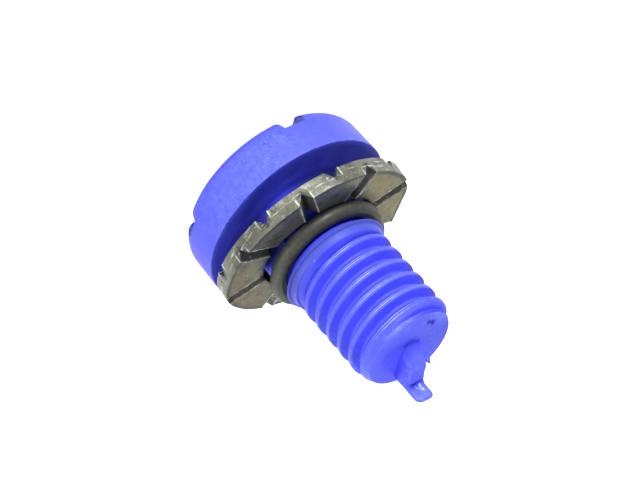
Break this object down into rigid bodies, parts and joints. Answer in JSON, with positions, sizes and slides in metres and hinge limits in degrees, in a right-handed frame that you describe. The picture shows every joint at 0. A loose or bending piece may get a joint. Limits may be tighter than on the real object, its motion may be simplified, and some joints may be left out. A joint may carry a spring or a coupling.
{
  "type": "radiator drain plug",
  "caption": "Moulded plastic radiator drain plug with a cross-slotted round head, a coarse thread, a rubber sealing ring and a loose toothed metal washer.",
  "frame": {"origin": "centre of the head's top face, on the plug's axis, where the plug stands on its head", "axes": "+Z along the plug's axis from the head to the tip; X and Y along the two arms of the cross slot; the tongue at the tip points to +Y"},
  "size_m": [0.0232, 0.0235, 0.0306],
  "materials": {
    "moulded_plastic": "satin moulded blue, slightly translucent",
    "washer_metal": "satin grey, burred notches",
    "seal_rubber": "satin dark grey"
  },
  "bodies": {
    "root": {"drain_plug": "moulded_plastic", "toothed_washer": "washer_metal", "o_ring": "seal_rubber"}
  },
  "joints": []
}
